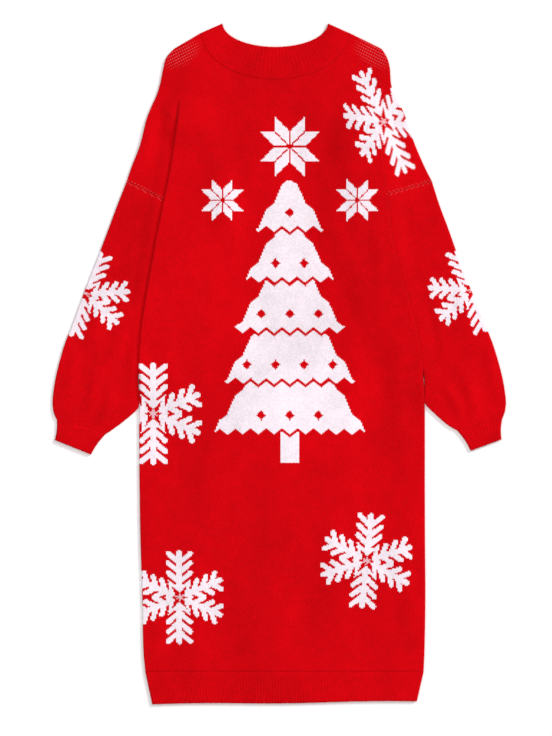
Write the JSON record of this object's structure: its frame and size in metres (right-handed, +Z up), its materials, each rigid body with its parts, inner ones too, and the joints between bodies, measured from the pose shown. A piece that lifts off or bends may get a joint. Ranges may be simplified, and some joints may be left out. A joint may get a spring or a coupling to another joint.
{
  "type": "sweater dress",
  "caption": "Long knitted sweater dress laid flat, front up, with dropped shoulders, full sleeves folded beside the body and ribbed neckband, cuffs and hem.",
  "frame": {"origin": "centre of the garment's box in plan, at the level of the surface that it lies on", "axes": "+Y from the hem to the neck, +Z up out of the front panel, so -X is the left of the picture"},
  "size_m": [0.6974, 1.0504, 0.0196],
  "materials": {
    "patterned_knit": "red jacquard knit, matt and slightly fuzzy",
    "rib_knit": "red one-and-one rib, matt"
  },
  "bodies": {
    "root": {"front_panel": "patterned_knit", "back_panel": "patterned_knit", "sleeve_left": "patterned_knit", "sleeve_right": "patterned_knit", "collar": "rib_knit", "cuff_left": "rib_knit", "cuff_right": "rib_knit", "hem_rib_front": "rib_knit", "hem_rib_back": "rib_knit"}
  },
  "joints": []
}
